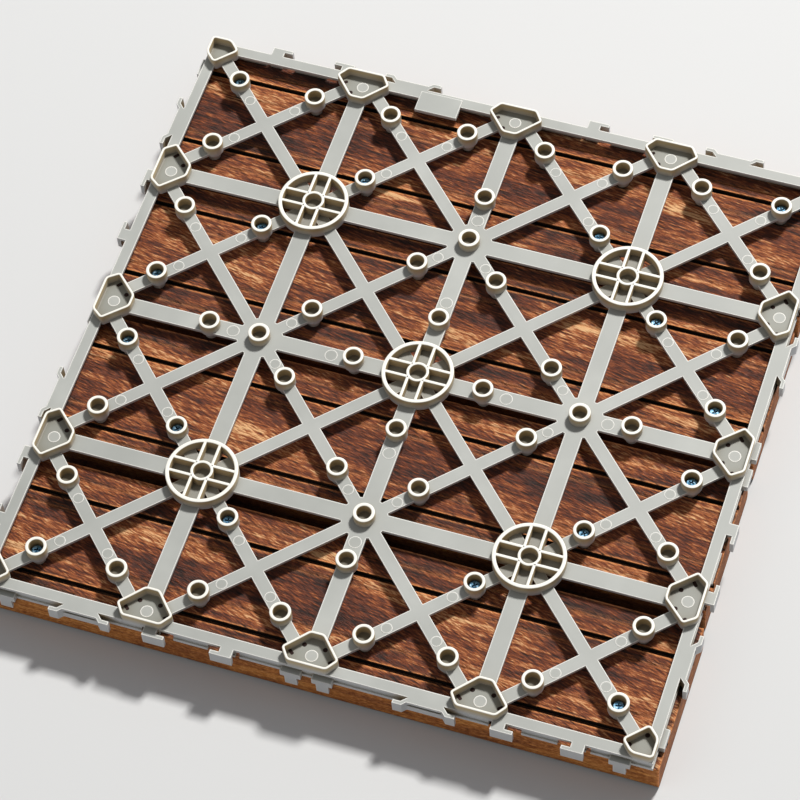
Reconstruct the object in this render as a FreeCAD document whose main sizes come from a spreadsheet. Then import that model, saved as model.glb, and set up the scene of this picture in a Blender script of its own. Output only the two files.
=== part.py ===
import FreeCAD, Part
import os
import Sketcher

# Interlocking deck tile, shown as it lies when it is turned over: four hardwood slats with
# their show faces on the ground, and the moulded base grid screwed to their backs.
# X runs along the slats, Z is up, and the origin is at the middle of the show side.

SIZES = [
    ("slat_length", 300.0, "length of a slat along X"),
    ("slat_width", 68.0, "width of a slat"),
    ("slat_thick", 18.0, "thickness of a slat"),
    ("slat_pitch", 76.2, "from the middle of one slat to the next"),
    ("slat_slip", 1.5, "how far the first slat sits along X from the others"),
    ("slat_round", 2.5, "rounding of the long edges of the show face"),
    ("groove_wide", 2.4, "width of a relief groove in the back of a slat"),
    ("groove_deep", 3.0, "depth of a relief groove"),
    ("groove_near", 17.8, "first relief groove, from the slat's middle"),
    ("groove_far", 21.6, "second relief groove, from the slat's middle"),
    ("reed_wide", 2.6, "width of a shallow planing flute"),
    ("reed_deep", 0.7, "depth of a shallow planing flute"),
    ("reed_inner", 12.2, "inner flutes, from the slat's middle"),
    ("reed_outer", 27.0, "outer flutes, from the slat's middle"),
    ("cell", 73.5, "pitch of the main ribs"),
    ("body_half", 149.2, "half the width of the base grid"),
    ("rail_wide", 5.1, "width of the flange along each side"),
    ("rib_wide", 7.8, "width of a main rib"),
    ("brace_wide", 5.8, "width of a diagonal rib"),
    ("rib_thick", 1.5, "thickness of ribs, flanges and floors"),
    ("grid_deep", 6.6, "top of the ribs above the backs of the slats"),
    ("foot_high", 4.6, "height of bosses, hubs and cups above the ribs"),
    ("skirt_set", 0.8, "how far the skirt wall stands in from the flange's edge"),
    ("skirt_wall", 1.4, "thickness of the skirt wall"),
    ("lip_high", 1.6, "height of the lip along the foot of the skirt"),
    ("boss_outer", 9.3, "outer diameter of a screw boss"),
    ("boss_bore", 6.9, "bore of a screw boss"),
    ("stub_outer", 5.8, "diameter of the stub under a boss that holds a screw"),
    ("rib_boss_near", 29.7, "bosses on the middle ribs, inner ones"),
    ("rib_boss_far", 96.8, "bosses on the middle ribs, outer ones"),
    ("ring_outer", 31.7, "outer diameter of a ring hub"),
    ("ring_wall", 1.5, "wall of a ring hub"),
    ("tube_outer", 10.0, "outer diameter of the tube in a ring hub"),
    ("tube_bore", 7.7, "bore of the tube in a ring hub"),
    ("web_thick", 1.3, "thickness of a web in a ring hub"),
    ("web_off", 3.35, "middle of a web from the hub's axis"),
    ("node_outer", 9.6, "outer diameter of a small hub's tube"),
    ("node_bore", 6.9, "bore of a small hub's tube"),
    ("node_disc", 20.6, "diameter of the flat disc round a small hub"),
    ("cup_wall", 1.4, "wall of the cups along the edge"),
    ("cup_flat", 8.1, "half the outer side of an edge cup"),
    ("cup_side", 12.05, "half the widest part of an edge cup"),
    ("cup_tip", 3.1, "half the inner side of an edge cup"),
    ("cup_shoulder", 5.6, "widest part of an edge cup, in from the edge"),
    ("cup_deep", 15.9, "reach of an edge cup in from the edge"),
    ("nook_flat", 8.3, "outer side of a corner cup, from the corner"),
    ("nook_side", 12.9, "shoulder of a corner cup, from the corner"),
    ("nook_in", 4.8, "shoulder of a corner cup, in from the edge"),
    ("pair_far", 100.75, "middle of the far pair of hooks and of the far clip"),
    ("pair_near", 52.1, "middle of the near pair of hooks and of the near clip"),
    ("head_in", 151.7, "inner face of hook heads and clip feet, from the middle of the tile"),
    ("head_thick", 1.7, "thickness of hook heads, clip arms and clip feet"),
    ("stem_in", 14.1, "near side of a hook's stem, from the middle of its pair"),
    ("stem_wide", 5.8, "width of a hook's stem"),
    ("head_tip", 10.3, "tip of a hook, from the middle of its pair"),
    ("gate_arm", 6.4, "opening in the skirt beside a stem, under the hook's arm"),
    ("gate_back", 2.0, "opening in the skirt on the stem's other side"),
    ("clip_root", 7.7, "outer side of a clip arm at the rail, from the clip's middle"),
    ("clip_tip", 13.5, "tip of a clip foot, from the clip's middle"),
    ("shelf_out", 2.4, "reach of the flange and bar between clip arms past the rail"),
    ("bar_high", 3.4, "height of the low bars and of the stops"),
    ("stop_out", 2.2, "reach of the stops past the rail"),
    ("stop_wide", 9.0, "width of a stop"),
    ("stop_mid", 6.95, "middle stops, from the middle of the side"),
    ("stop_end", 135.5, "end stops, from the middle of the side"),
    ("tab_wide", 5.4, "width of a tab under a stop on the long sides"),
    ("tab_thick", 1.2, "thickness of a tab"),
    ("tab_deep", 5.9, "reach of a tab below the backs of the slats"),
    ("plate_long", 20.0, "length of the bare plate on one rail"),
    ("plate_wide", 10.8, "width of the bare plate"),
    ("plate_off", 36.8, "middle of the bare plate, from the middle of the side"),
    ("plate_in", 1.2, "bare plate in from the edge"),
    ("plate_high", 0.3, "bare plate above the ribs"),
    ("head_outer", 5.2, "diameter of a screw head"),
    ("head_high", 1.1, "height of a screw head"),
    ("shank", 3.0, "diameter of a screw's shank"),
    ("shank_long", 18.0, "length of a screw under its head"),
    ("shank_gap", 0.2, "clearance round a shank, in the boss floor and in the slat"),
    ("tip_gap", 1.0, "space below a screw's tip"),
]

doc = FreeCAD.newDocument("interlocking_deck_tile")
sheet = doc.addObject("Spreadsheet::Sheet", "sizes")
for row, (alias, value, note) in enumerate(SIZES, start=1):
    sheet.set("A%d" % row, note)
    sheet.set("B%d" % row, str(value))
    sheet.setAlias("B%d" % row, alias)
doc.recompute()


def size(alias):
    return "sizes." + alias


SLAT_TOP = size("slat_thick")
RIB_TOP = "(sizes.slat_thick + sizes.grid_deep)"
RIB_UNDER = "(sizes.slat_thick + sizes.grid_deep - sizes.rib_thick)"
FOOT_TOP = "(sizes.slat_thick + sizes.grid_deep + sizes.foot_high)"
EDGE = size("body_half")
RAISED = "(sizes.rib_thick + sizes.foot_high)"
HEAD_OUT = "(sizes.head_in + sizes.head_thick)"
SHANK_HOLE = "(sizes.shank + 2 * sizes.shank_gap)"

# Flat sides that stand for a round, fewer on what repeats and on what is out of sight.
BOSS_SIDES = 9
TUBE_SIDES = 12
RING_SIDES = 18
STUB_SIDES = 6


def origin_feature(body, role):
    return [part for part in body.Origin.OriginFeatures if part.Role == role][0]


def new_sketch(body, name, level, role="XY_Plane"):
    sketch = body.newObject("Sketcher::SketchObject", name)
    sketch.AttachmentSupport = [(origin_feature(body, role), "")]
    sketch.MapMode = "FlatFace"
    sketch.setExpression("AttachmentOffset.Base.z", level)
    return sketch


def bind(sketch, constraints):
    """Adds each constraint with its size bound to the sheet."""
    first = sketch.ConstraintCount
    sketch.addConstraint([constraint for constraint, source in constraints])
    for index, (constraint, source) in enumerate(constraints, start=first):
        if source:
            sketch.setExpression("Constraints[%d]" % index, source)


def outline(sketch, corners):
    """A closed outline of straight sides through the given corners."""
    first = sketch.GeometryCount
    count = len(corners)
    rough = Part.makeCircle(10).discretize(count + 1)[:count]
    lines = [Part.LineSegment(rough[k], rough[(k + 1) % count]) for k in range(count)]
    sketch.addGeometry(lines, False)
    constraints = []
    for k, (across, up) in enumerate(corners):
        meet = Sketcher.Constraint("Coincident", first + k, 2, first + (k + 1) % count, 1)
        constraints.append((meet, None))
        at_x = Sketcher.Constraint("DistanceX", first + k, 1, rough[k].x)
        at_y = Sketcher.Constraint("DistanceY", first + k, 1, rough[k].y)
        constraints.append((at_x, across))
        constraints.append((at_y, up))
    bind(sketch, constraints)


def block(name, level, corners, height):
    """An upright block over one closed outline."""
    sketch = doc.addObject("Sketcher::SketchObject", name + "_outline")
    sketch.setExpression("Placement.Base.z", level)
    outline(sketch, corners)
    solid = doc.addObject("Part::Extrusion", name)
    solid.Base = sketch
    solid.DirMode = "Custom"
    solid.Dir = FreeCAD.Vector(0, 0, 1)
    solid.Solid = True
    solid.setExpression("LengthFwd", height)
    return solid


def blocks(name, level, shapes, height):
    return [block(name, level, corners, height) for corners in shapes]


def round_post(places, level, diameter, height, sides=BOSS_SIDES):
    """Upright posts of one size at the given places; each is round to within its flat sides."""
    posts = []
    for across, up in places:
        post = doc.addObject("Part::Prism", "post")
        post.Polygon = sides
        post.setExpression("Circumradius", "%s / 2" % diameter)
        post.setExpression("Height", height)
        post.setExpression("Placement.Base.x", across)
        post.setExpression("Placement.Base.y", up)
        post.setExpression("Placement.Base.z", level)
        posts.append(post)
    return posts


def bar(low, high, level, height):
    """An upright block between two opposite corners."""
    solid = doc.addObject("Part::Box", "bar")
    solid.setExpression("Length", "%s - (%s)" % (high[0], low[0]))
    solid.setExpression("Width", "%s - (%s)" % (high[1], low[1]))
    solid.setExpression("Height", height)
    solid.setExpression("Placement.Base.x", low[0])
    solid.setExpression("Placement.Base.y", low[1])
    solid.setExpression("Placement.Base.z", level)
    return solid


def joined(name, pieces, refine=False):
    fuse = doc.addObject("Part::MultiFuse", name)
    fuse.Shapes = pieces
    fuse.Refine = refine
    return fuse


def together(name, pieces):
    group = doc.addObject("Part::Compound", name)
    group.Links = pieces
    return group


def cut_from(name, whole, tool):
    cut = doc.addObject("Part::Cut", name)
    cut.Base = whole
    cut.Tool = tool
    cut.Refine = False
    return cut


def pad(body, sketch, length):
    feature = body.newObject("PartDesign::Pad", sketch.Name + "_pad")
    feature.Profile = sketch
    feature.Refine = False
    feature.setExpression("Length", length)
    return feature


def box_corners(left, right, near, far):
    return [(left, near), (right, near), (right, far), (left, far)]


def square(half):
    return box_corners("-(%s)" % half, half, "-(%s)" % half, half)


def inset(corners, wall):
    """The corners of an anticlockwise outline, moved in by the wall on every side."""
    moved = []
    earlier = corners[-1:] + corners[:-1]
    later = corners[1:] + corners[:1]
    for before, corner, after in zip(earlier, corners, later):
        ax, ay = heading(before, corner)
        bx, by = heading(corner, after)
        share = "%s / (1 + %s * %s + %s * %s)" % (wall, ax, bx, ay, by)
        across = "%s - (%s + %s) * %s" % (corner[0], ay, by, share)
        up = "%s + (%s + %s) * %s" % (corner[1], ax, bx, share)
        moved.append((across, up))
    return moved


def heading(start, end):
    """The direction from one corner to the next, as two parts of a unit length."""
    run = "(%s - (%s))" % (end[0], start[0])
    rise = "(%s - (%s))" % (end[1], start[1])
    length = "sqrt(%s * %s + %s * %s)" % (run, run, rise, rise)
    return "(%s / %s)" % (run, length), "(%s / %s)" % (rise, length)


def four_ways(across, up):
    """A place and its mirror places on both axes."""
    return [(i + "(" + across + ")", j + "(" + up + ")") for i in ("", "-") for j in ("", "-")]


def quarter(share):
    """A place on the lattice, in quarters of a cell."""
    return "%s * sizes.cell / 4" % share


SCREW_PLACES = (
    four_ways(quarter(7), quarter(7)) + four_ways(quarter(5), quarter(3))
    + four_ways(quarter(3), quarter(5)) + four_ways(quarter(7), quarter(1))
)
PLAIN_PLACES = (
    four_ways(quarter(5), quarter(7)) + four_ways(quarter(3), quarter(7))
    + four_ways(quarter(1), quarter(7))
    + four_ways(quarter(7), quarter(5)) + four_ways(quarter(7), quarter(3))
    + four_ways(quarter(1), quarter(3)) + four_ways(quarter(3), quarter(1))
)
RIB_PLACES = [
    place
    for reach in (size("rib_boss_near"), size("rib_boss_far"))
    for place in ((reach, "0"), ("-" + reach, "0"), ("0", reach), ("0", "-" + reach))
]
CELL = size("cell")
RING_PLACES = [("0", "0")] + four_ways(CELL, CELL)
NODE_PLACES = [(CELL, "0"), ("-" + CELL, "0"), ("0", CELL), ("0", "-" + CELL)]


def rib_bars(across, wide):
    """Three parallel main ribs, along X or across it, that end inside the rails."""
    end = "(sizes.body_half - sizes.rail_wide / 2)"
    bars = []
    for middle in ("-" + CELL, "0", CELL):
        near = "%s - %s / 2" % (middle, wide)
        far = "%s + %s / 2" % (middle, wide)
        corners = box_corners("-" + end, end, near, far)
        bars.append([(up, run) for run, up in corners] if across else corners)
    return bars


def brace_bars(slope):
    """Seven parallel diagonal ribs; slope is 1 for those that rise along X, -1 for the others."""
    end = "(sizes.body_half - sizes.rail_wide / 2)"
    half = "sizes.brace_wide / 2 / sqrt(2)"
    bars = []
    for step in range(-3, 4):
        shift = "(%d * sizes.cell)" % step
        low = "(max(0; %s) - %s)" % (shift, end)
        high = "(min(0; %s) + %s)" % (shift, end)
        corners = [
            ("%s + %s" % (low, half), "%s - %s - %s" % (low, shift, half)),
            ("%s + %s" % (high, half), "%s - %s - %s" % (high, shift, half)),
            ("%s - %s" % (high, half), "%s - %s + %s" % (high, shift, half)),
            ("%s - %s" % (low, half), "%s - %s + %s" % (low, shift, half)),
        ]
        bars.append(corners if slope > 0 else [("-(%s)" % run, up) for run, up in corners])
    return bars


def layer(body, name, level, shapes, length):
    """One sketch of several closed outlines at a level, raised by a length."""
    sketch = new_sketch(body, name, level)
    for corners in shapes:
        outline(sketch, corners)
    pad(body, sketch, length)


def build_lattice(body):
    """The flange round the edge and the flat ribs, all at one level."""
    rim = [square(EDGE), square("(sizes.body_half - sizes.rail_wide)")]
    layer(body, "rim", RIB_UNDER, rim, size("rib_thick"))
    layer(body, "ribs_along", RIB_UNDER, rib_bars(False, size("rib_wide")), size("rib_thick"))
    layer(body, "ribs_across", RIB_UNDER, rib_bars(True, size("rib_wide")), size("rib_thick"))
    layer(body, "braces_rising", RIB_UNDER, brace_bars(1), size("rib_thick"))
    layer(body, "braces_falling", RIB_UNDER, brace_bars(-1), size("rib_thick"))


def build_skirt(body):
    """The wall under the flange, down to the slats, and the lip along its foot."""
    wall_in = "(sizes.body_half - sizes.skirt_set - sizes.skirt_wall)"
    wall = [square("(sizes.body_half - sizes.skirt_set)"), square(wall_in)]
    layer(body, "skirt", SLAT_TOP, wall, size("grid_deep"))
    layer(body, "skirt_lip", SLAT_TOP, [square(EDGE), square(wall_in)], size("lip_high"))


EDGE_CUP = [
    ("-sizes.cup_tip", "(sizes.body_half - sizes.cup_deep)"),
    ("sizes.cup_tip", "(sizes.body_half - sizes.cup_deep)"),
    ("sizes.cup_side", "(sizes.body_half - sizes.cup_shoulder)"),
    ("sizes.cup_flat", "sizes.body_half"),
    ("-sizes.cup_flat", "sizes.body_half"),
    ("-sizes.cup_side", "(sizes.body_half - sizes.cup_shoulder)"),
]
CORNER_CUP = [
    ("(sizes.body_half - sizes.nook_in)", "(sizes.body_half - sizes.nook_side)"),
    ("sizes.body_half", "(sizes.body_half - sizes.nook_flat)"),
    ("sizes.body_half", "sizes.body_half"),
    ("(sizes.body_half - sizes.nook_flat)", "sizes.body_half"),
    ("(sizes.body_half - sizes.nook_side)", "(sizes.body_half - sizes.nook_in)"),
]


def both_hands(middle, corners):
    """An outline given from the middle of a pair, and its mirror twin."""
    right = [("%s + (%s)" % (middle, run), up) for run, up in corners]
    left = [("%s - (%s)" % (middle, run), up) for run, up in corners]
    return [right, left]


def all_sides(shapes):
    """Outlines drawn on the side that faces +Y, repeated for the four sides."""
    copies = []
    for corners in shapes:
        for turn in range(4):
            copies.append(corners)
            corners = [(up, "-(%s)" % run) for run, up in corners]
    return copies


def hook_outlines():
    """Hooks in facing pairs: top plates, heads and the openings in the skirt beside the stems."""
    inside = "(sizes.body_half - sizes.skirt_set - sizes.skirt_wall / 2)"
    stem_back = "sizes.stem_in + sizes.stem_wide"
    past = "(sizes.body_half + sizes.skirt_set)"
    behind = "(sizes.body_half - sizes.rail_wide)"
    plates = []
    heads = []
    gates = []
    for middle in ("-sizes.pair_far", "sizes.pair_near"):
        plate = [
            (stem_back, inside), (stem_back, HEAD_OUT), ("sizes.head_tip", HEAD_OUT),
            ("sizes.head_tip", "sizes.head_in"), ("sizes.stem_in", "sizes.head_in"),
            ("sizes.stem_in", inside),
        ]
        head = box_corners("sizes.head_tip", stem_back, "sizes.head_in", HEAD_OUT)
        arm_gate = box_corners("sizes.stem_in - sizes.gate_arm", "sizes.stem_in", behind, past)
        back_gate = box_corners(stem_back, stem_back + " + sizes.gate_back", behind, past)
        plates += both_hands(middle, plate)
        heads += both_hands(middle, head)
        gates += both_hands(middle, arm_gate) + both_hands(middle, back_gate)
    return plates, heads, gates


def clip_outlines():
    """Clips that snap between a facing pair of hooks: two arms, and the shelf between them."""
    inside = "(sizes.body_half - sizes.skirt_set - sizes.skirt_wall / 2)"
    root_in = "(sizes.clip_root - sizes.head_thick * sqrt(2))"
    shelf_half = "(%s + sizes.shelf_out)" % root_in
    shelf_edge = "(sizes.body_half + sizes.shelf_out)"
    arms = []
    shelves = []
    for middle in ("-sizes.pair_near", "sizes.pair_far"):
        arm = [
            (root_in, inside), ("sizes.clip_root", inside), ("sizes.clip_root", EDGE),
            ("sizes.clip_root + sizes.head_in - sizes.body_half", "sizes.head_in"),
            ("sizes.clip_tip", "sizes.head_in"), ("sizes.clip_tip", HEAD_OUT),
            ("%s + %s - sizes.body_half" % (root_in, HEAD_OUT), HEAD_OUT), (root_in, EDGE),
        ]
        arms += both_hands(middle, arm)
        shelves.append([
            ("%s - %s" % (middle, root_in), inside), ("%s + %s" % (middle, root_in), inside),
            ("%s + %s" % (middle, root_in), EDGE), ("%s + %s" % (middle, shelf_half), shelf_edge),
            ("%s - %s" % (middle, shelf_half), shelf_edge), ("%s - %s" % (middle, root_in), EDGE),
        ])
    return arms, shelves


def stop_outlines(wide, near, far):
    """Outlines of one width under the middle and the ends of a side."""
    shapes = []
    for middle in ("sizes.stop_mid", "sizes.stop_end"):
        left = "%s - %s / 2" % (middle, wide)
        right = "%s + %s / 2" % (middle, wide)
        shapes += both_hands("0", box_corners(left, right, near, far))
    return shapes


def build_sides():
    """Hooks, clips and stops of the four sides, which are alike, in groups that can be joined."""
    plates, heads, gates = hook_outlines()
    arms, shelves = clip_outlines()
    inside = "(sizes.body_half - sizes.skirt_set - sizes.skirt_wall / 2)"
    stops = stop_outlines("sizes.stop_wide", inside, "(sizes.body_half + sizes.stop_out)")
    top_plates = blocks("top_plate", RIB_UNDER, all_sides(plates + shelves), size("rib_thick"))
    catches = blocks("catch", SLAT_TOP, all_sides(heads + arms), size("grid_deep"))
    low_bars = blocks("low_bar", SLAT_TOP, all_sides(shelves + stops), size("bar_high"))
    openings = blocks("gate", SLAT_TOP, all_sides(gates), "sizes.grid_deep - sizes.rib_thick")
    solid = [
        together("top_plates", top_plates),
        together("catches", catches),
        together("low_bars", low_bars),
    ]
    return solid, openings


def edge_row(corners):
    """An outline given at the middle of a side, repeated where each main rib meets that side."""
    middles = ("-" + CELL, "0", CELL)
    return [[("%s + (%s)" % (middle, run), up) for run, up in corners] for middle in middles]


def build_cups():
    """Cups where ribs meet the edge: a wall round a floor at the level of the ribs."""
    outsides = all_sides(edge_row(EDGE_CUP) + [CORNER_CUP])
    insides = all_sides(edge_row(inset(EDGE_CUP, "sizes.cup_wall")) + [inset(CORNER_CUP, "sizes.cup_wall")])
    cups = blocks("cup", RIB_UNDER, outsides, RAISED)
    pockets = blocks("cup_pocket", RIB_TOP, insides, size("foot_high"))
    return cut_from("cups", together("cup_blocks", cups), together("cup_pockets", pockets))


def build_extras():
    """The bare plate on one rail, and the tabs on the two sides along the slats."""
    plate = box_corners(
        "-(sizes.plate_off + sizes.plate_long / 2)", "-(sizes.plate_off - sizes.plate_long / 2)",
        "sizes.body_half - sizes.plate_in - sizes.plate_wide", "sizes.body_half - sizes.plate_in",
    )
    out = "(sizes.body_half + sizes.stop_out)"
    tabs = stop_outlines("sizes.tab_wide", "%s - sizes.tab_thick" % out, out)
    tabs += [[(run, "-(%s)" % up) for run, up in corners] for corners in tabs]
    pieces = blocks("tab", "sizes.slat_thick - sizes.tab_deep", tabs, "sizes.tab_deep + sizes.lip_high")
    pieces.append(block("bare_plate", RIB_UNDER, plate, "sizes.rib_thick + sizes.plate_high"))
    return together("plate_and_tabs", pieces)


def build_hubs():
    """Rings with a tube in the middle and four pairs of webs between them."""
    inner = "(sizes.ring_outer - 2 * sizes.ring_wall)"
    rings = round_post(RING_PLACES, RIB_UNDER, size("ring_outer"), RAISED, RING_SIDES)
    hollows = round_post(RING_PLACES, RIB_UNDER, inner, RAISED, RING_SIDES)
    tubes = round_post(RING_PLACES, RIB_UNDER, size("tube_outer"), RAISED, TUBE_SIDES)
    bores = round_post(RING_PLACES, RIB_TOP, size("tube_bore"), size("foot_high"), TUBE_SIDES)
    reach = "(sizes.ring_outer / 2 - sizes.ring_wall / 2)"
    chord = "sqrt(%s * %s - sizes.web_off * sizes.web_off)" % (reach, reach)
    webs_along = []
    webs_across = []
    for x, y in RING_PLACES:
        for side in ("-", "+"):
            near = "%s sizes.web_off - sizes.web_thick / 2" % side
            far = "%s sizes.web_off + sizes.web_thick / 2" % side
            low = ("%s - %s" % (x, chord), "%s %s" % (y, near))
            high = ("%s + %s" % (x, chord), "%s %s" % (y, far))
            webs_along.append(bar(low, high, RIB_UNDER, RAISED))
            low = ("%s %s" % (x, near), "%s - %s" % (y, chord))
            high = ("%s %s" % (x, far), "%s + %s" % (y, chord))
            webs_across.append(bar(low, high, RIB_UNDER, RAISED))
    solid_hubs = joined("solid_hubs", [
        cut_from("ring_walls", together("rings", rings), together("hollows", hollows)),
        together("tubes", tubes),
        together("webs_along", webs_along),
        together("webs_across", webs_across),
    ])
    return cut_from("hubs", solid_hubs, together("tube_bores", bores))


def build_bosses(screw_holes):
    """Bosses and small hubs, with stubs down to the slats under those that hold a screw."""
    every_boss = SCREW_PLACES + PLAIN_PLACES + RIB_PLACES
    posts = round_post(every_boss, RIB_UNDER, size("boss_outer"), RAISED)
    posts += round_post(NODE_PLACES, RIB_UNDER, size("node_outer"), RAISED)
    bores = round_post(every_boss, RIB_TOP, size("boss_bore"), size("foot_high"))
    bores += round_post(NODE_PLACES, RIB_TOP, size("node_bore"), size("foot_high"))
    bored = cut_from("bored_bosses", together("boss_posts", posts), together("bores", bores))
    under = "sizes.grid_deep - sizes.rib_thick"
    stubs = round_post(SCREW_PLACES, SLAT_TOP, size("stub_outer"), under, STUB_SIDES)
    discs = round_post(NODE_PLACES, RIB_UNDER, size("node_disc"), size("rib_thick"), RING_SIDES)
    return [
        cut_from("bosses", bored, screw_holes),
        cut_from("stubs", together("stub_posts", stubs), screw_holes),
        together("discs", discs),
    ]


def build_base_grid():
    """One moulding: ribs, rails and skirt, then cups, catches, hubs and bosses."""
    body = new_body("lattice")
    build_lattice(body)
    build_skirt(body)
    sides, gates = build_sides()
    screw_holes = round_post(SCREW_PLACES, SLAT_TOP, SHANK_HOLE, size("grid_deep"), STUB_SIDES)
    frame = cut_from("open_frame", body, together("openings", gates + screw_holes))
    pieces = [frame, build_cups(), build_hubs(), build_extras()]
    pieces += sides + build_bosses(together("screw_holes", screw_holes))
    return joined("base_grid", pieces, refine=True)


def new_body(name):
    body = doc.addObject("PartDesign::Body", name)
    body.AllowCompound = True
    return body


def slat_profile():
    """Section of a slat: flat show face, and grooves and flutes in its back."""
    half = "sizes.slat_width / 2"
    corners = [("-" + half, "0"), (half, "0"), (half, SLAT_TOP)]
    cuts = (
        ("sizes.reed_outer", "reed"), ("sizes.groove_near", "groove"), ("sizes.reed_inner", "reed"),
        ("-sizes.reed_inner", "reed"), ("-sizes.groove_far", "groove"), ("-sizes.reed_outer", "reed"),
    )
    for middle, kind in cuts:
        wide = "sizes.%s_wide / 2" % kind
        floor = "sizes.slat_thick - sizes.%s_deep" % kind
        corners.append(("%s + %s" % (middle, wide), SLAT_TOP))
        if kind == "groove":
            corners.append(("%s + %s" % (middle, wide), floor))
            corners.append(("%s - %s" % (middle, wide), floor))
        else:
            corners.append((middle, floor))
        corners.append(("%s - %s" % (middle, wide), SLAT_TOP))
    corners.append(("-" + half, SLAT_TOP))
    return corners


def soften(body, board):
    """Rounds the two long edges of the show face."""
    edges = []
    for index, edge in enumerate(board.Shape.Edges, start=1):
        ends = edge.Vertexes
        on_show_face = abs(ends[0].Z) < 0.001 and abs(ends[-1].Z) < 0.001
        if on_show_face and abs(ends[0].X - ends[-1].X) > 1:
            edges.append("Edge%d" % index)
    rounded = body.newObject("PartDesign::Fillet", body.Name + "_rounded")
    rounded.Base = (board, edges)
    rounded.setExpression("Radius", size("slat_round"))


def build_slat(number, row, slip, screw_places):
    """A slat with its pilot holes. Its place is in half pitches; slats past the middle are turned."""
    body = new_body("board_%d" % number)
    profile = new_sketch(body, "section_%d" % number, "-sizes.slat_length / 2", "YZ_Plane")
    outline(profile, slat_profile())
    board = pad(body, profile, size("slat_length"))
    doc.recompute()
    soften(body, board)
    if row > 0:
        body.Placement.Rotation = FreeCAD.Rotation(FreeCAD.Vector(0, 0, 1), 180)
    body.setExpression("Placement.Base.x", slip)
    body.setExpression("Placement.Base.y", "%d * sizes.slat_pitch / 2" % row)
    deep = "(sizes.shank_long - sizes.grid_deep + sizes.tip_gap)"
    pilots = round_post(screw_places, "sizes.slat_thick - %s" % deep, SHANK_HOLE, deep, STUB_SIDES)
    return cut_from("slat_%d" % number, body, together("pilots_%d" % number, pilots))


def row_screws(side, outer, inner):
    """Places of a slat's four screws, in quarters of a cell: an outer pair and an inner pair."""
    places = []
    for across, up in (outer, inner):
        for hand in ("", "-"):
            places.append((hand + quarter(across), side + quarter(up)))
    return places


def build_slats():
    return [
        build_slat(1, -3, "sizes.slat_slip", row_screws("-", (7, 7), (3, 5))),
        build_slat(2, -1, "0", row_screws("-", (5, 3), (7, 1))),
        build_slat(3, 1, "0", row_screws("", (5, 3), (7, 1))),
        build_slat(4, 3, "0", row_screws("", (7, 7), (3, 5))),
    ]


def build_screws():
    """All the screws, each a solid of its own: a flat round head on the boss floor and a plain shank."""
    heads = round_post(SCREW_PLACES, RIB_TOP, size("head_outer"), size("head_high"))
    tip = "%s - sizes.shank_long" % RIB_TOP
    shanks = round_post(SCREW_PLACES, tip, size("shank"), size("shank_long"), STUB_SIDES)
    return joined("screws", [together("heads", heads), together("shanks", shanks)])


nodes = [build_base_grid()] + build_slats() + [build_screws()]
for node in nodes:
    node.Label = node.Name
doc.recompute()

for item in doc.Objects:
    if "Invalid" in item.State or "Error" in item.State:
        raise RuntimeError("%s failed: %s" % (item.Name, item.State))
for node in nodes:
    if node.Shape.isNull() or not node.Shape.isValid():
        raise RuntimeError("%s has no valid shape" % node.Label)

os.makedirs("parts", exist_ok=True)
for node in nodes:
    node.Shape.exportStep("parts/%s.step" % node.Label)
    print(node.Label, len(node.Shape.Solids), round(node.Shape.Volume), node.Shape.BoundBox)
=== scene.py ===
import bpy, bmesh
import math, random
from mathutils import Euler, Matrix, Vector


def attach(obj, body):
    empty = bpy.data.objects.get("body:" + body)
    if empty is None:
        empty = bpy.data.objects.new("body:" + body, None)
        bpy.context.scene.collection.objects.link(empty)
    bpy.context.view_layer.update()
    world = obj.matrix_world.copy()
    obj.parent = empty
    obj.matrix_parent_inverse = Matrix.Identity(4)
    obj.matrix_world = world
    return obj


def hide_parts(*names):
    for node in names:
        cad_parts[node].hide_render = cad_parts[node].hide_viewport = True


# An interlocking deck tile that lies turned over: four hardwood slats, show faces down, under a
# moulded base grid. Lengths in this file are millimetres until they are multiplied by MM.

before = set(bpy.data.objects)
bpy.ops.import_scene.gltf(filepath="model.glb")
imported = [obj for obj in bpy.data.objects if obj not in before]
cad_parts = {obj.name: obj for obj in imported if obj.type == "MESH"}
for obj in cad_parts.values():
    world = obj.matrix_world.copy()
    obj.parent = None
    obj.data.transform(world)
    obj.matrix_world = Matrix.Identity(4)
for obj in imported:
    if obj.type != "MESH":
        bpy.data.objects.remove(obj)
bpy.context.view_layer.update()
MM = 0.001
random.seed(7)

# Levels, from the show faces of the slats upwards.
SLAT_TOP = 18.0
RIB_UNDER = 23.1
RIB_TOP = 24.6
FOOT_TOP = 29.2
GRID_CUT = RIB_TOP + 0.015
POST_FOOT = RIB_UNDER - 0.02
POST_FLOOR = RIB_TOP + 0.03
CUP_FOOT = RIB_UNDER + 0.02
CUP_FLOOR = RIB_TOP + 0.04

# The tile is four cells wide; its bosses stand on a grid of quarter cells.
CELL = 73.5
QUARTER = CELL / 4
BODY_HALF = 149.2

# Diameters of the round posts and rings, and the webs between them.
BOSS_OUTER, BOSS_BORE = 9.34, 6.46
NODE_OUTER, NODE_BORE = 9.64, 6.46
TUBE_OUTER, TUBE_BORE = 10.04, 7.4
RING_OUTER, RING_INNER = 31.74, 28.2
WEB_THICK, WEB_OFF = 1.36, 3.35
POST_RIM = 0.32
POST_SIDES, RING_SIDES = 36, 72

# Where edges and faces are picked by their places, places nearer than this are the same.
SAME = 0.01 * MM


def four_ways(across, up):
    """A place given in quarter cells, mirrored into all four quarters of the tile."""
    return [(i * across * QUARTER, j * up * QUARTER) for i in (1, -1) for j in (1, -1)]


def on_axes(reaches):
    """Places on the two middle ribs, each way, at the given distances from the tile's middle."""
    steps = [sign * reach for sign in (1, -1) for reach in reaches]
    return [(step, 0) for step in steps] + [(0, step) for step in steps]


def quarter_turned(x, y, turns):
    """A place carried clockwise round the tile's middle by quarter turns."""
    for turn in range(turns):
        x, y = y, -x
    return x, y


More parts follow.
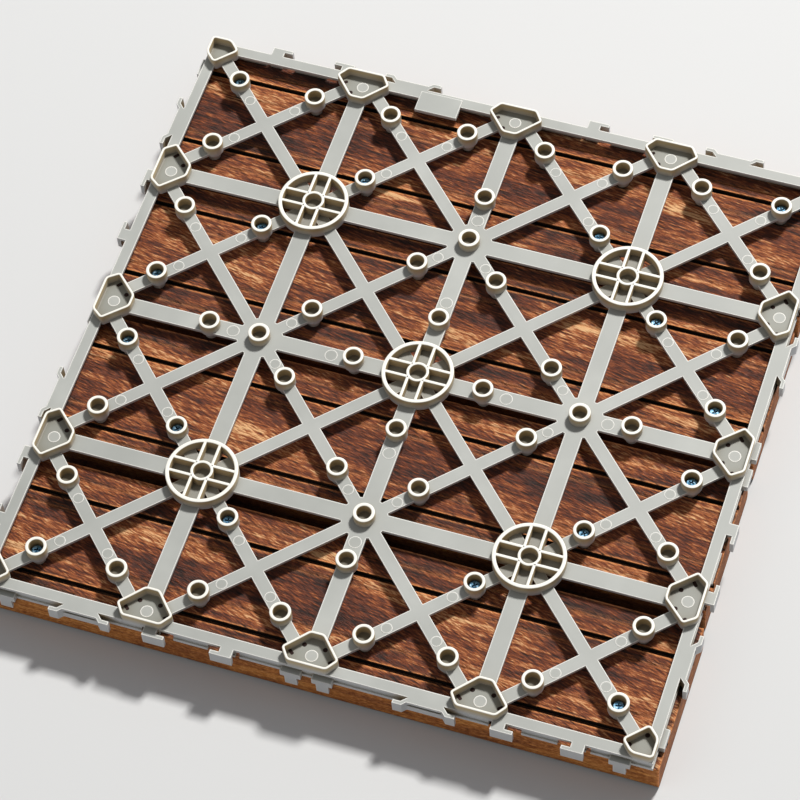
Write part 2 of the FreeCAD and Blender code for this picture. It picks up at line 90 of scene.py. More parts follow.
SCREW_PLACES = four_ways(7, 7) + four_ways(5, 3) + four_ways(3, 5) + four_ways(7, 1)
PLAIN_PLACES = (
    four_ways(5, 7) + four_ways(3, 7) + four_ways(1, 7) + four_ways(7, 5) + four_ways(7, 3)
    + four_ways(1, 3) + four_ways(3, 1)
)
BOSS_PLACES = SCREW_PLACES + PLAIN_PLACES + on_axes((29.7, 96.8))
RING_PLACES = [(0, 0)] + four_ways(4, 4)
NODE_PLACES = [(CELL, 0), (-CELL, 0), (0, CELL), (0, -CELL)]
CUP_MIDDLES = (-CELL, 0, CELL)


# Mesh helpers

def activate(obj):
    bpy.ops.object.select_all(action="DESELECT")
    obj.select_set(True)
    bpy.context.view_layer.objects.active = obj


def open_edit(obj, kind="FACE"):
    activate(obj)
    bpy.ops.object.mode_set(mode="EDIT")
    bpy.ops.mesh.select_mode(type=kind)
    bpy.ops.mesh.select_all(action="DESELECT")


def close_edit():
    bpy.ops.object.mode_set(mode="OBJECT")


def pick_vertices(obj, wanted):
    mesh = bmesh.from_edit_mesh(obj.data)
    for vertex in mesh.verts:
        vertex.select_set(wanted(vertex))
    bmesh.update_edit_mesh(obj.data)


def pick_edges(obj, wanted):
    mesh = bmesh.from_edit_mesh(obj.data)
    for edge in mesh.edges:
        edge.select_set(wanted(edge))
    bmesh.update_edit_mesh(obj.data)


def pick_faces(obj, wanted):
    mesh = bmesh.from_edit_mesh(obj.data)
    for face in mesh.faces:
        face.select_set(wanted(face))
    mesh.select_flush(True)
    bmesh.update_edit_mesh(obj.data)


def go_to_edges(obj, wanted):
    """Turns from faces to edges, and picks the wanted ones only."""
    bpy.ops.mesh.select_mode(type="EDGE")
    bpy.ops.mesh.select_all(action="DESELECT")
    pick_edges(obj, wanted)


def all_at(item, level):
    return all(abs(vertex.co.z - level * MM) < SAME for vertex in item.verts)


def on_circle(edge):
    radii = [vertex.co.xy.length for vertex in edge.verts]
    return abs(radii[0] - radii[1]) < SAME


def upright(edge):
    return abs(edge.verts[0].co.z - edge.verts[1].co.z) > 0.1 * MM


def settle(obj):
    """Puts the object's place into its mesh."""
    activate(obj)
    bpy.ops.object.transform_apply(location=True, rotation=True, scale=True)


def merge_to(name, objs):
    """Joins pieces to one, named, with its place in its mesh."""
    bpy.ops.object.select_all(action="DESELECT")
    for obj in objs:
        obj.select_set(True)
    bpy.context.view_layer.objects.active = objs[0]
    bpy.ops.object.join()
    whole = bpy.context.view_layer.objects.active
    whole.name = name
    whole.data.name = name
    settle(whole)
    return whole


def copy_to(template, places, turns=None):
    """Copies of a piece, each with its own mesh, at the given places; the pattern piece is used up."""
    copies = []
    for number, (x, y) in enumerate(places):
        twin = template.copy()
        twin.data = template.data.copy()
        twin.location = (x * MM, y * MM, 0)
        if turns:
            twin.rotation_euler = (0, 0, turns[number])
        bpy.context.scene.collection.objects.link(twin)
        copies.append(twin)
    bpy.data.objects.remove(template)
    return copies


def smooth(obj, degrees=35):
    activate(obj)
    bpy.ops.object.shade_smooth_by_angle(angle=math.radians(degrees))


def round_block(radius, low, high, sides, name):
    bpy.ops.object.select_all(action="DESELECT")
    bpy.ops.mesh.primitive_cylinder_add(
        vertices=sides, radius=radius * MM, depth=(high - low) * MM, location=(0, 0, (high + low) / 2 * MM))
    obj = bpy.context.view_layer.objects.active
    obj.name = name
    settle(obj)
    return obj


def square_block(low, high, name):
    bpy.ops.object.select_all(action="DESELECT")
    middle = [(a + b) / 2 * MM for a, b in zip(low, high)]
    bpy.ops.mesh.primitive_cube_add(size=1, location=middle)
    obj = bpy.context.view_layer.objects.active
    obj.scale = [(b - a) * MM for a, b in zip(low, high)]
    obj.name = name
    settle(obj)
    return obj


def outline_block(corners, low, high, round_off, name):
    """A flat outline, its corners rounded, drawn up to a block. It starts as a small circle, whose
    points are moved to the corners."""
    bpy.ops.object.select_all(action="DESELECT")
    bpy.ops.mesh.primitive_circle_add(
        vertices=len(corners), radius=4 * MM, fill_type="NGON", location=(0, 0, low * MM))
    obj = bpy.context.view_layer.objects.active
    obj.name = name
    settle(obj)
    starts = [vertex.co.copy() for vertex in obj.data.vertices]
    open_edit(obj, "VERT")
    for start, (x, y) in zip(starts, corners):
        bpy.ops.mesh.select_all(action="DESELECT")
        pick_vertices(obj, lambda vertex: (vertex.co - start).length < 0.0001 * MM)
        bpy.ops.transform.translate(value=(x * MM - start.x, y * MM - start.y, 0))
    bpy.ops.mesh.select_all(action="SELECT")
    bpy.ops.mesh.bevel(offset=round_off * MM, segments=4, affect="VERTICES")
    bpy.ops.mesh.select_all(action="SELECT")
    bpy.ops.mesh.select_mode(type="FACE")
    bpy.ops.mesh.extrude_region_move(TRANSFORM_OT_translate={"value": (0, 0, (high - low) * MM)})
    bpy.ops.mesh.select_all(action="SELECT")
    bpy.ops.mesh.normals_make_consistent(inside=False)
    close_edit()
    return obj


# Materials

def linear(hex_colour):
    """The linear values of an sRGB hex colour."""
    values = [int(hex_colour[k:k + 2], 16) / 255 for k in (1, 3, 5)]
    return [v / 12.92 if v <= 0.04045 else ((v + 0.055) / 1.055) ** 2.4 for v in values] + [1.0]


def add(tree, kind, inputs, out=0, stops=(), **settings):
    """Adds a node with its settings, links and colour stops, and gives one of its outputs."""
    node = tree.nodes.new("ShaderNode" + kind)
    for name, value in settings.items():
        setattr(node, name, value)
    for name, value in (inputs.items() if isinstance(inputs, dict) else enumerate(inputs)):
        if isinstance(value, bpy.types.NodeSocket):
            tree.links.new(value, node.inputs[name])
        else:
            node.inputs[name].default_value = value
    for number, (place, colour) in enumerate(stops):
        if number == len(node.color_ramp.elements):
            node.color_ramp.elements.new(place)
        node.color_ramp.elements[number].position = place
        node.color_ramp.elements[number].color = linear(colour)
    return node.outputs[out]


# A Mix node with these blends two colours, its inputs 6 and 7, by its input 0.
COLOURS = {"data_type": "RGBA", "out": 2}


def start_material(name):
    material = bpy.data.materials.new(name)
    material.use_nodes = True
    tree = material.node_tree
    return material, tree, tree.nodes["Principled BSDF"]


def stretched(tree, place, sizes, detail, roughness=0.6, turn=0.0, shift=(0, 0, 0), distortion=0.0):
    """A pattern of spots that have the given sizes in millimetres along X, Y and Z."""
    turned = add(tree, "Mapping", {
        "Vector": place, "Rotation": (0, 0, turn), "Location": [step * MM for step in shift]})
    sized = add(tree, "Mapping", {"Vector": turned, "Scale": [1 / (size * MM) for size in sizes]})
    return add(tree, "TexNoise", {
        "Vector": sized, "Scale": 1.0, "Detail": detail, "Roughness": roughness,
        "Distortion": distortion}, out="Fac")


def near_edges(tree, reach, flat, sharp):
    """0 on the flats and 1 at the edges: how far the surface turns within the reach in millimetres,
    as the likeness of its own direction to the rounded one falls from flat to sharp."""
    rounded = add(tree, "Bevel", {"Radius": reach * MM}, samples=8)
    own = add(tree, "NewGeometry", (), out="Normal")
    likeness = add(tree, "VectorMath", (rounded, own), out="Value", operation="DOT_PRODUCT")
    return add(tree, "MapRange", (likeness, flat, sharp))


def moulded_plastic():
    """Light warm grey polypropylene, injection moulded: matt on the flats, with a painted highlight near
    white where an edge turns to the light, beige painted warm shade on the walls, and painted shade in the
    corners."""
    material, tree, shader = start_material("moulded_polypropylene_warm_grey")
    place = add(tree, "TexCoord", (), out="Object")
    normal = add(tree, "TexCoord", (), out="Normal")
    level = add(tree, "SeparateXYZ", (place,), out="Z")
    faces_up = add(tree, "MapRange", (add(tree, "SeparateXYZ", (normal,), out="Z"), 0.35, 0.85))
    cloud = stretched(tree, place, (38, 38, 38), 3)
    # Flats are a cool light grey; walls are painted as a shaded copy of the same plastic, turning from a
    # paler grey to a beige painted warm shade towards the tops of posts and cups.
    flats = add(tree, "ValToRGB", (cloud,), stops=[(0.3, "#A1A39F"), (0.55, "#A9ABA7"), (0.75, "#B3B5B1")])
    beige_wall_shade = add(tree, "ValToRGB", (cloud,), stops=[(0.3, "#B09A72"), (0.7, "#C9B792")])
    above = add(tree, "MapRange", (level, (RIB_TOP - 0.6) * MM, (FOOT_TOP - 1.6) * MM))
    walls = add(tree, "Mix", {0: above, 6: linear("#BEBFC0"), 7: beige_wall_shade}, **COLOURS)
    colour = add(tree, "Mix", {0: faces_up, 6: walls, 7: flats}, **COLOURS)
    # The rims of posts and cups get a painted highlight, nearly white.
    rims = add(tree, "MapRange", (level, (FOOT_TOP - 0.45) * MM, (FOOT_TOP - 0.1) * MM))
    rims = add(tree, "Math", (rims, faces_up), operation="MULTIPLY")
    colour = add(tree, "Mix", {0: rims, 6: colour, 7: linear("#F2F0E8")}, **COLOURS)
    # A thin pale line of painted highlight follows each edge, strongest on faces that look up.
    edge = near_edges(tree, 1.1, 0.985, 0.84)
    highlight_share = add(tree, "MapRange", (faces_up, 0, 1, 0.35, 0.95))
    edge_highlight = add(tree, "Math", (edge, highlight_share), operation="MULTIPLY")
    colour = add(tree, "Mix", {0: edge_highlight, 6: colour, 7: linear("#F8F7F2")}, **COLOURS)
    # The floors of the cups and of the posts' bores, a hair above the ribs, get painted shade in a darker
    # grey.
    floor_low = add(tree, "MapRange", (level, (RIB_TOP + 0.018) * MM, (RIB_TOP + 0.028) * MM))
    floor_high = add(tree, "MapRange", (level, (RIB_TOP + 0.06) * MM, (RIB_TOP + 0.08) * MM, 0.55, 0.0))
    sunk = add(tree, "Math", (floor_low, floor_high), operation="MULTIPLY")
    sunk = add(tree, "Math", (sunk, faces_up), operation="MULTIPLY")
    colour = add(tree, "Mix", {0: sunk, 6: colour, 7: linear("#75756A")}, **COLOURS)
    # Painted shade in bores and corners, deeper where the surface is more closed in, a lighter brown on
    # walls and a darker brown on faces that look up; and specks that have settled on the surface.
    hidden = add(tree, "AmbientOcclusion", {"Distance": 6.5 * MM}, out="AO", samples=8)
    corner_shade = add(tree, "MapRange", (hidden, 0.12, 0.74, 0.88, 0.0))
    corner_shade_tone = add(tree, "Mix", {0: faces_up, 6: linear("#9A8458"), 7: linear("#5C4F33")}, **COLOURS)
    colour = add(tree, "Mix", {0: corner_shade, 6: colour, 7: corner_shade_tone}, **COLOURS)
    speck = add(tree, "MapRange", (stretched(tree, place, (1.6, 1.6, 1.6), 4, 0.7), 0.66, 0.8, 0, 0.22))
    colour = add(tree, "Mix", {0: speck, 6: colour, 7: linear("#8F8874")}, **COLOURS)
    tree.links.new(colour, shader.inputs["Base Color"])
    sheen = add(tree, "MapRange", (cloud, 0.3, 0.7, 0.42, 0.55))
    tree.links.new(sheen, shader.inputs["Roughness"])
    shader.inputs["IOR"].default_value = 1.49
    soft_edge = add(tree, "Bevel", {"Radius": 0.35 * MM}, samples=5)
    grain = stretched(tree, place, (0.35, 0.35, 0.35), 3)
    relief = add(tree, "Bump", {
        "Strength": 0.25, "Distance": 0.05 * MM, "Height": grain, "Normal": soft_edge})
    tree.links.new(relief, shader.inputs["Normal"])
    return material


def slat_wood(number):
    """Dense reddish brown hardwood, oiled: the back is rough from the saw, with torn fibres in lighter
    orange topped by a painted glint, and dark pores between them; the sides and the show face are planed
    and smoother."""
    material, tree, shader = start_material("oiled_hardwood_%d" % number)
    place = add(tree, "TexCoord", (), out="Object")
    normal = add(tree, "TexCoord", (), out="Normal")
    back = add(tree, "MapRange", (add(tree, "SeparateXYZ", (normal,), out="Z"), 0.3, 0.6))
    side = add(tree, "MapRange", (back, 0, 1, 1, 0))
    shift = (137.0 * number, 71.0 * number, 0)
    # Fibres are 1 mm and less across; the torn ones slant a little differently on each slat.
    fibre = stretched(tree, place, (11.0, 0.75, 0.8), 5, 0.65, math.radians(4), shift)
    torn = stretched(tree, place, (5.2, 0.85, 1.4), 4, 0.62, math.radians(25 - 3 * number), shift)
    broad = stretched(tree, place, (60, 9, 4), 2, 0.5, math.radians(2), shift)
    relief_height = add(tree, "Math", (fibre, torn), operation="ADD")
    tone = add(tree, "Math", (relief_height, broad), operation="ADD")
    tone = add(tree, "Math", (tone, 3.0), operation="DIVIDE")
    # The back's tone follows the grain; its palest stop is a painted glint on the torn fibres.
    rough_tone = add(tree, "ValToRGB", (tone,), stops=[
        (0.385, "#170702"), (0.445, "#461B08"), (0.5, "#723312"), (0.55, "#AE602C"), (0.61, "#F0BE88")])
    smooth_tone = add(tree, "ValToRGB", (tone,), stops=[
        (0.38, "#6A3610"), (0.46, "#9C571C"), (0.54, "#C27A32"), (0.62, "#DB9C52")])
    colour = add(tree, "Mix", {0: back, 6: smooth_tone, 7: rough_tone}, **COLOURS)
    # The sawn ends show the growth rings, in darker bands.
    along = add(tree, "SeparateXYZ", (normal,), out="X")
    end = add(tree, "MapRange", (add(tree, "Math", (along,), operation="ABSOLUTE"), 0.6, 0.9, 0, 0.75))
    rings = stretched(tree, place, (40, 5, 0.9), 3, 0.6, 0.0, shift, 1.2)
    end_tone = add(tree, "ValToRGB", (rings,), stops=[
        (0.38, "#5A2A0E"), (0.5, "#8A481A"), (0.62, "#B2692C")])
    colour = add(tree, "Mix", {0: end, 6: colour, 7: end_tone}, **COLOURS)
    # Edges get a painted glint of light orange, broken into patches by the torn fibres.
    edge = near_edges(tree, 2.2, 0.99, 0.86)
    glint_patches = add(tree, "MapRange", (torn, 0.34, 0.5))
    edge_glint = add(tree, "Math", (edge, glint_patches), operation="MULTIPLY")
    edge_glint = add(tree, "MapRange", (edge_glint, 0, 1, 0, 0.8))
    colour = add(tree, "Mix", {0: edge_glint, 6: colour, 7: linear("#F09A58")}, **COLOURS)
    pores = stretched(tree, place, (4.0, 0.4, 0.4), 3, 0.6, 0.0, shift)
    pores = add(tree, "MapRange", (pores, 0.36, 0.27, 0, 0.8))
    colour = add(tree, "Mix", {0: pores, 6: colour, 7: linear("#160905")}, **COLOURS)
    # Grooves and the gaps between slats get painted shade, nearly black.
    hidden = add(tree, "AmbientOcclusion", {"Distance": 4.0 * MM}, out="AO", samples=6)
    hidden = add(tree, "MapRange", (hidden, 0.38, 0.86, 1.0, 0.0))
    colour = add(tree, "Mix", {0: hidden, 6: colour, 7: linear("#080302")}, **COLOURS)
    gap_shade = add(tree, "AmbientOcclusion", {"Distance": 14.0 * MM}, out="AO", samples=6)
    gap_shade = add(tree, "MapRange", (gap_shade, 0.2, 0.5, 1.0, 0.0))
    gap_shade = add(tree, "Math", (gap_shade, side), operation="MULTIPLY")
    colour = add(tree, "Mix", {0: gap_shade, 6: colour, 7: linear("#080302")}, **COLOURS)
    tree.links.new(colour, shader.inputs["Base Color"])
    gloss = add(tree, "MapRange", (torn, 0.35, 0.65, 0.62, 0.36))
    gloss = add(tree, "Math", (gloss, add(tree, "MapRange", (side, 0, 1, 0, 0.3))), operation="ADD")
    tree.links.new(gloss, shader.inputs["Roughness"])
    shader.inputs["IOR"].default_value = 1.5
    relief = add(tree, "Bump", {
        "Strength": add(tree, "MapRange", (back, 0, 1, 0.25, 1.0)), "Distance": 0.8 * MM,
        "Height": relief_height})
    tree.links.new(relief, shader.inputs["Normal"])
    return material


def zinc_steel():
    """Zinc plated steel with a bluish passivated film: bright and a little uneven, with painted shade in
    the recess.
    """
    material, tree, shader = start_material("zinc_plated_steel_blue")
    place = add(tree, "TexCoord", (), out="Object")
    film = stretched(tree, place, (1.2, 1.2, 1.2), 4)
    colour = add(tree, "ValToRGB", (film,), stops=[(0.3, "#35607F"), (0.5, "#6391B0"), (0.7, "#A6C6D8")])
    # Painted shade, nearly black, in the cross recess and other closed-in places.
    hidden = add(tree, "AmbientOcclusion", {"Distance": 1.2 * MM}, out="AO", samples=6)
    hidden = add(tree, "MapRange", (hidden, 0.2, 0.75, 0.95, 0))
    colour = add(tree, "Mix", {0: hidden, 6: colour, 7: linear("#0B1218")}, **COLOURS)
    tree.links.new(colour, shader.inputs["Base Color"])
    shader.inputs["Metallic"].default_value = 1.0
    tree.links.new(add(tree, "MapRange", (film, 0.3, 0.7, 0.22, 0.38)), shader.inputs["Roughness"])
    return material


def dark_hollow():
    """What shows through the small holes in a cup's floor: shaded wood, dark brown and unlit."""
    material, tree, shader = start_material("shaded_wood_in_hole")
    place = add(tree, "TexCoord", (), out="Object")
    tone = stretched(tree, place, (0.8, 0.8, 0.8), 3)
    colour = add(tree, "ValToRGB", (tone,), stops=[(0.3, "#120604"), (0.7, "#2E100A")])
    tree.links.new(colour, shader.inputs["Base Color"])
    shader.inputs["Roughness"].default_value = 0.9
    return material


PLASTIC = moulded_plastic()
STEEL = zinc_steel()
HOLLOW = dark_hollow()


def finish_piece(obj, material):
    obj.data.materials.clear()
    obj.data.materials.append(material)
    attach(obj, "root")


# Base grid: the solid's own flats, rails, skirt and catches, cut off level with the ribs' tops; the
# rounded posts, cups and plate below stand in the places of its many-sided and sharp ones.

def build_grid_frame():
    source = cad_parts["base_grid"]
    grid = source.copy()
    grid.data = source.data.copy()
    grid.parent = None
    grid.name = "moulded_grid"
    bpy.context.scene.collection.objects.link(grid)
    open_edit(grid, "VERT")
    bpy.ops.mesh.select_all(action="SELECT")
    bpy.ops.mesh.remove_doubles(threshold=0.001 * MM)
    bpy.ops.mesh.select_all(action="SELECT")
    bpy.ops.mesh.bisect(
        plane_co=(0, 0, GRID_CUT * MM), plane_no=(0, 0, 1), use_fill=True, clear_outer=True,
        threshold=0.0001 * MM)
    close_edit()
    bpy.ops.object.shade_flat()
    finish_piece(grid, PLASTIC)
    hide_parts("base_grid")


def soft_tube(outer, bore):
    """A moulded tube: its top is inset, sunk to the floor, and both rims are rounded."""
    tube = round_block(outer / 2, POST_FOOT, FOOT_TOP, POST_SIDES, "tube")
    open_edit(tube)
    pick_faces(tube, lambda face: all_at(face, FOOT_TOP))
    bpy.ops.mesh.inset(thickness=(outer - bore) / 2 * MM)
    bpy.ops.mesh.extrude_region_move(
        TRANSFORM_OT_translate={"value": (0, 0, -(FOOT_TOP - POST_FLOOR) * MM)})
    go_to_edges(tube, lambda edge: all_at(edge, FOOT_TOP) and on_circle(edge))
    bpy.ops.mesh.bevel(offset=POST_RIM * MM, segments=3, affect="EDGES")
    close_edit()
    return tube


def build_bosses():
    """The bosses, the four small hubs, and the round stubs under the bosses."""
    for name, places, outer, bore in (
            ("screw_bosses", BOSS_PLACES, BOSS_OUTER, BOSS_BORE),
            ("small_hubs", NODE_PLACES, NODE_OUTER, NODE_BORE)):
        posts = merge_to(name, copy_to(soft_tube(outer, bore), places))
        smooth(posts)
        finish_piece(posts, PLASTIC)
    stub_radius, stub_foot, stub_top = 2.9, SLAT_TOP + 0.05, RIB_UNDER + 0.1
    stub = round_block(stub_radius, stub_foot, stub_top, 20, "stub")
    open_edit(stub, "EDGE")
    pick_edges(stub, lambda edge: all_at(edge, stub_foot))
    bpy.ops.mesh.bevel(offset=0.3 * MM, segments=2, affect="EDGES")
    close_edit()
    stubs = merge_to("boss_stubs", copy_to(stub, BOSS_PLACES))
    smooth(stubs)
    finish_piece(stubs, PLASTIC)


def spun_ring(inner, outer):
    """A ring spun from the section of its wall, whose two upper corners are rounded first."""
    bpy.ops.object.select_all(action="DESELECT")
    bpy.ops.mesh.primitive_plane_add(
        size=1, rotation=(math.pi / 2, 0, 0),
        location=((inner + outer) / 2 * MM, 0, (POST_FOOT + FOOT_TOP) / 2 * MM))
    ring = bpy.context.view_layer.objects.active
    ring.name = "ring"
    ring.scale = ((outer - inner) * MM, (FOOT_TOP - POST_FOOT) * MM, 1)
    settle(ring)
    open_edit(ring, "VERT")
    pick_vertices(ring, lambda vertex: vertex.co.z > FOOT_TOP * MM - SAME)
    bpy.ops.mesh.bevel(offset=POST_RIM * MM, segments=3, affect="VERTICES")
    bpy.ops.mesh.select_all(action="SELECT")
    bpy.ops.mesh.delete(type="ONLY_FACE")
    bpy.ops.mesh.select_all(action="SELECT")
    bpy.ops.mesh.spin(steps=RING_SIDES, angle=2 * math.pi, center=(0, 0, 0), axis=(0, 0, 1))
    bpy.ops.mesh.select_all(action="SELECT")
    bpy.ops.mesh.remove_doubles(threshold=0.005 * MM)
    bpy.ops.mesh.normals_make_consistent(inside=False)
    close_edit()
    return ring


def build_ring_hubs():
    """A ring with a tube in the middle, and webs in pairs from the tube to the ring."""
    parts = [spun_ring(RING_INNER / 2, RING_OUTER / 2), soft_tube(TUBE_OUTER, TUBE_BORE)]
    web_top = FOOT_TOP - 0.04
    bite = 0.3
    reach = math.sqrt((RING_INNER / 2 + bite) ** 2 - (WEB_OFF + WEB_THICK / 2) ** 2)
    start = math.sqrt((TUBE_BORE / 2 + bite) ** 2 - (WEB_OFF - WEB_THICK / 2) ** 2)
    for turn in range(4):
        for side in (1, -1):
            near = side * WEB_OFF - WEB_THICK / 2
            web = square_block(
                (start, near, RIB_UNDER - 0.01), (reach, near + WEB_THICK, web_top), "web")
            open_edit(web, "EDGE")
            pick_edges(web, lambda edge: all_at(edge, web_top)
                       and abs(edge.verts[0].co.y - edge.verts[1].co.y) < SAME)
            bpy.ops.mesh.bevel(offset=0.26 * MM, segments=2, affect="EDGES")
            close_edit()
            web.rotation_euler = (0, 0, turn * math.pi / 2)
            settle(web)
            parts.append(web)
    hubs = merge_to("ring_hubs", copy_to(merge_to("ring_hub", parts), RING_PLACES))
    smooth(hubs)
    finish_piece(hubs, PLASTIC)


def soft_cup(corners, round_off):
    """A cup with rounded corners and rims."""
    wall, rim = 1.1, 0.3
    cup = outline_block(corners, CUP_FOOT, FOOT_TOP, round_off, "cup")
    open_edit(cup)
    pick_faces(cup, lambda face: all_at(face, FOOT_TOP))
    bpy.ops.mesh.inset(thickness=wall * MM)
    bpy.ops.mesh.extrude_region_move(
        TRANSFORM_OT_translate={"value": (0, 0, -(FOOT_TOP - CUP_FLOOR) * MM)})
    go_to_edges(cup, lambda edge: all_at(edge, FOOT_TOP) and len(edge.link_faces) == 2 and any(
        abs(face.normal.z) < 0.5 for face in edge.link_faces))
    bpy.ops.mesh.bevel(offset=rim * MM, segments=3, affect="EDGES")
    close_edit()
    return cup


def build_cups():
    """Three six-sided cups on each side, narrow towards the tile's middle, and a five-sided one in
    each corner. Their backs stand a hair inside the rail's face."""
    edge = BODY_HALF - 0.03
    shoulder = BODY_HALF - 5.6
    side_cup = soft_cup([
        (-3.2, edge - 15.9), (3.2, edge - 15.9), (12.7, shoulder), (8.7, edge), (-8.7, edge),
        (-12.7, shoulder)], 1.3)
    corner_cup = soft_cup([
        (edge - 5.4, edge - 14.8), (edge, edge - 9.6), (edge, edge), (edge - 9.6, edge),
        (edge - 14.8, edge - 5.4)], 1.9)
    quarters = [turn * math.pi / 2 for turn in range(4)]
    corners = copy_to(corner_cup, [(0, 0)] * 4, quarters)
    places, turns = [], []
    for turn in quarters:
        for middle in CUP_MIDDLES:
            places.append((middle * math.cos(turn), middle * math.sin(turn)))
            turns.append(turn)
    cups = merge_to("edge_cups", copy_to(side_cup, places, turns) + corners)
    smooth(cups)
    finish_piece(cups, PLASTIC)


def build_plate():
    """The small bare plate on the north rail, its corners and rim rounded."""
    west, east, south, north = -46.78, -26.82, 137.22, 147.98
    foot, top = RIB_UNDER + 0.1, RIB_TOP + 0.3
    plate = square_block((west, south, foot), (east, north, top), "bare_plate")
    open_edit(plate, "EDGE")
    pick_edges(plate, upright)
    bpy.ops.mesh.bevel(offset=0.5 * MM, segments=3, affect="EDGES")
    bpy.ops.mesh.select_all(action="DESELECT")
    pick_edges(plate, lambda edge: all_at(edge, top))
    bpy.ops.mesh.bevel(offset=0.12 * MM, segments=2, affect="EDGES")
    close_edit()
    finish_piece(plate, PLASTIC)


# Marks that the mould's ejector pins leave: thin round pads on the ribs and in the cups.

def brace_marks():
    """Places of the marks on the braces, each a little off a boss, a hub or a cup."""
    off, hub_off = 7.45, 11.1
    near = QUARTER + off
    outer = 7 * QUARTER - off
    places = []
    for x, y in RING_PLACES[1:]:
        for i in (1, -1):
            j = -i if x * y > 0 else i
            places.append((x + i * near, y + j * near))
    for i in (1, -1):
        for j in (1, -1):
            places += [(i * (CELL - hub_off), j * hub_off), (i * hub_off, j * (CELL - hub_off))]
            places.append((i * outer, j * outer))
    for side in (-outer, outer):
        for sign in (-1, 1):
            for across, step in ((1, off), (3, -off), (5, off)):
                along = sign * (across * QUARTER + step)
                places += [(along, side), (side, along)]
    return places


def flat_pad(radius, low, high, sides):
    pad = round_block(radius, low, high, sides, "pad")
    open_edit(pad, "EDGE")
    pick_edges(pad, lambda edge: all_at(edge, high))
    bpy.ops.mesh.bevel(offset=0.03 * MM, segments=1, affect="EDGES")
    close_edit()
    return pad


def in_side_cups(across, in_from_edge):
    """Places in all side cups, given across each cup and in from the tile's edge."""
    return [quarter_turned(middle + step, BODY_HALF - in_from_edge, turn)
            for turn in range(4) for middle in CUP_MIDDLES for step in across]


def build_marks():
    foot, rib_level, cup_level = RIB_TOP - 0.3, RIB_TOP + 0.075, RIB_TOP + 0.11
    on_brace, on_rib, in_cup, sides = 2.55, 2.95, 2.8, 28
    groups = [
        copy_to(flat_pad(on_brace, foot, rib_level, sides), brace_marks()),
        copy_to(flat_pad(on_rib, foot, rib_level, sides), on_axes((40.2, 86.0))),
        copy_to(flat_pad(in_cup, foot, cup_level, sides), in_side_cups((0,), 6.7)),
    ]
    marks = merge_to("ejector_marks", [pad for group in groups for pad in group])
    bpy.ops.object.shade_flat()
    finish_piece(marks, PLASTIC)


def build_cup_holes():
    """Small round vents and slits in the floors of the cups, drawn as dark inlays of painted shade a hair
    above the floor.
    """
    foot, top, vent_radius = RIB_TOP - 0.2, RIB_TOP + 0.08, 1.05
    long_way, short_way = BODY_HALF - 11.6, BODY_HALF - 5.6
    vents = in_side_cups((4.6, -4.6), 10.9)
    for turn in range(4):
        vents.append(quarter_turned(long_way, short_way, turn))
        vents.append(quarter_turned(short_way, long_way, turn))
    holes = copy_to(flat_pad(vent_radius, foot, top, 16), vents)
    slit = square_block((-0.75, -1.5, foot), (0.75, 1.5, top), "slit")
    open_edit(slit, "EDGE")
    pick_edges(slit, upright)
    bpy.ops.mesh.bevel(offset=0.6 * MM, segments=3, affect="EDGES")
    close_edit()
    slits = in_side_cups((8.9, -8.9), 6.1)
    turns = [math.radians(50 if k % 2 == 0 else -50) - math.pi / 2 * (k // 6) for k in range(len(slits))]
    holes += copy_to(slit, slits, turns)
    finish_piece(merge_to("cup_vents", holes), HOLLOW)


def build_screws():
    """Round head screws with a cross recess, each at its own turn."""
    head_foot, head_top, recess_floor, shank_end = RIB_TOP + 0.02, RIB_TOP + 1.1, RIB_TOP + 0.25, 6.9
    head_radius, shank_radius, arm_reach, arm_half = 2.6, 1.5, 1.75, 0.42
    head = round_block(head_radius, head_foot, head_top, 40, "screw")
    open_edit(head)
    pick_faces(head, lambda face: all_at(face, head_top))
    bpy.ops.mesh.inset(thickness=0.35 * MM)
    go_to_edges(head, lambda edge: all_at(edge, head_top) and on_circle(edge)
                and edge.verts[0].co.xy.length > (head_radius - 0.1) * MM)
    bpy.ops.mesh.bevel(offset=0.5 * MM, segments=4, affect="EDGES")
    close_edit()
    arms = []
    for turn in range(2):
        arm = square_block(
            (-arm_reach, -arm_half, recess_floor), (arm_reach, arm_half, head_top + 0.5), "arm")
        open_edit(arm)
        pick_faces(arm, lambda face: all_at(face, recess_floor))
        bpy.ops.transform.resize(value=(0.45, 0.6, 1.0), center_override=(0, 0, recess_floor * MM))
        close_edit()
        arm.rotation_euler = (0, 0, turn * math.pi / 2)
        settle(arm)
        arms.append(arm)
    for arm in arms:
        cut = head.modifiers.new("recess", "BOOLEAN")
        cut.object = arm
        cut.operation = "DIFFERENCE"
        cut.solver = "EXACT"
        activate(head)
        bpy.ops.object.modifier_apply(modifier=cut.name)
        bpy.data.objects.remove(arm)
    shank = round_block(shank_radius, shank_end, RIB_TOP + 0.1, 16, "shank")
    open_edit(shank)
    pick_faces(shank, lambda face: all_at(face, shank_end))
    bpy.ops.mesh.inset(thickness=1.1 * MM)
    bpy.ops.transform.translate(value=(0, 0, -0.3 * MM))
    close_edit()
    screw = merge_to("screw", [head, shank])
    turns = [random.uniform(0, math.pi / 2) for place in SCREW_PLACES]
    screws = merge_to("cross_head_screws", copy_to(screw, SCREW_PLACES, turns))
    smooth(screws, 30)
    finish_piece(screws, STEEL)
    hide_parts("screws")


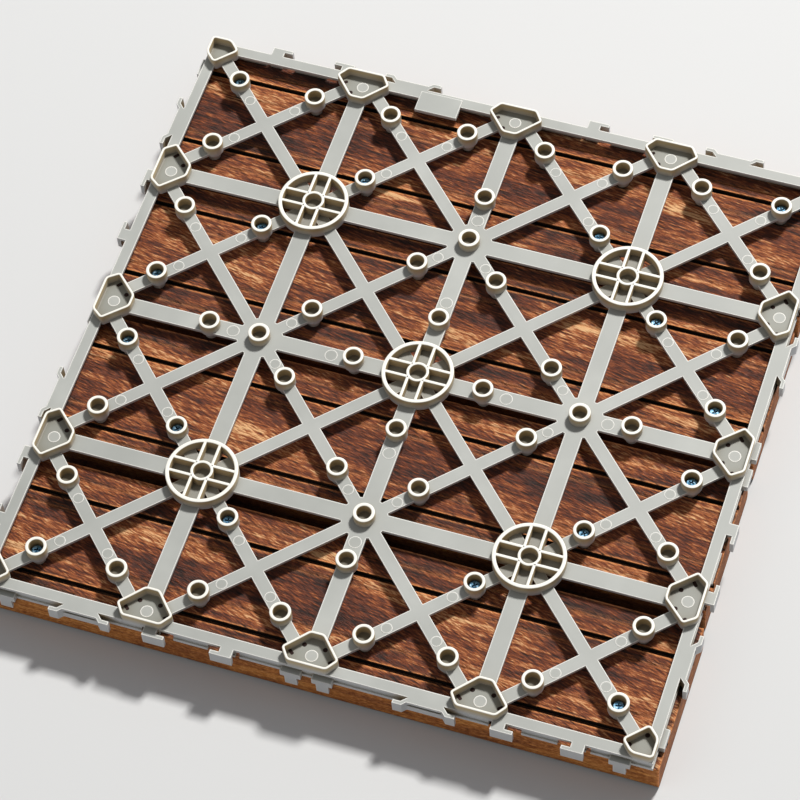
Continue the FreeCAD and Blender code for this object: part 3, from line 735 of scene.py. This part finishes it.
def dress_slats():
    for number in (1, 2, 3, 4):
        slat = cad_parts["slat_%d" % number]
        wood = slat_wood(number)
        if not slat.material_slots:
            slat.data.materials.append(wood)
        for material_slot in slat.material_slots:
            material_slot.material = wood


build_grid_frame()
build_bosses()
build_ring_hubs()
build_cups()
build_plate()
build_marks()
build_cup_holes()
build_screws()
dress_slats()


# Studio: a pale floor, soft light from behind and above, and the camera at the photograph's view.
# Places and sizes here are metres.

def build_floor():
    bpy.ops.object.select_all(action="DESELECT")
    bpy.ops.mesh.primitive_plane_add(size=12, location=(0, 0, -0.0002))
    floor = bpy.context.view_layer.objects.active
    floor.name = "floor"
    material, tree, shader = start_material("pale_studio_floor")
    shader.inputs["Base Color"].default_value = linear("#D4D5D6")
    shader.inputs["Roughness"].default_value = 0.9
    floor.data.materials.append(material)


def build_lamp(name, place, energy, size, colour):
    """A square lamp that points at the tile's middle."""
    data = bpy.data.lights.new(name, "AREA")
    data.energy = energy
    data.size = size
    data.color = linear(colour)[:3]
    lamp = bpy.data.objects.new(name, data)
    lamp.location = place
    lamp.rotation_euler = (-Vector(place)).to_track_quat("-Z", "Y").to_euler()
    bpy.context.scene.collection.objects.link(lamp)


def build_camera():
    """The photograph's own view, solved from the tile's evenly spaced ribs."""
    data = bpy.data.cameras.new("camera")
    data.lens = 153.78
    data.sensor_width = 36.0
    data.clip_start = 0.01
    data.clip_end = 100
    camera = bpy.data.objects.new("camera", data)
    camera.location = (0.3076, -0.7331, 1.2845)
    camera.rotation_euler = Euler([math.radians(turn) for turn in (31.7604, 3.1799, 18.2841)], "XYZ")
    bpy.context.scene.collection.objects.link(camera)
    bpy.context.scene.camera = camera


def build_world():
    world = bpy.data.worlds.new("studio")
    bpy.context.scene.world = world
    world.use_nodes = True
    background = world.node_tree.nodes["Background"]
    background.inputs["Color"].default_value = linear("#F4F6FA")
    background.inputs["Strength"].default_value = 0.25


build_floor()
build_lamp("key", (0.72, 2.16, 3.04), 169, 0.48, "#FFFDF9")
build_lamp("fill", (-1.2, -1.4, 1.6), 4.5, 1.6, "#FFFAF2")
build_camera()
build_world()
bpy.context.scene.view_settings.view_transform = "Standard"
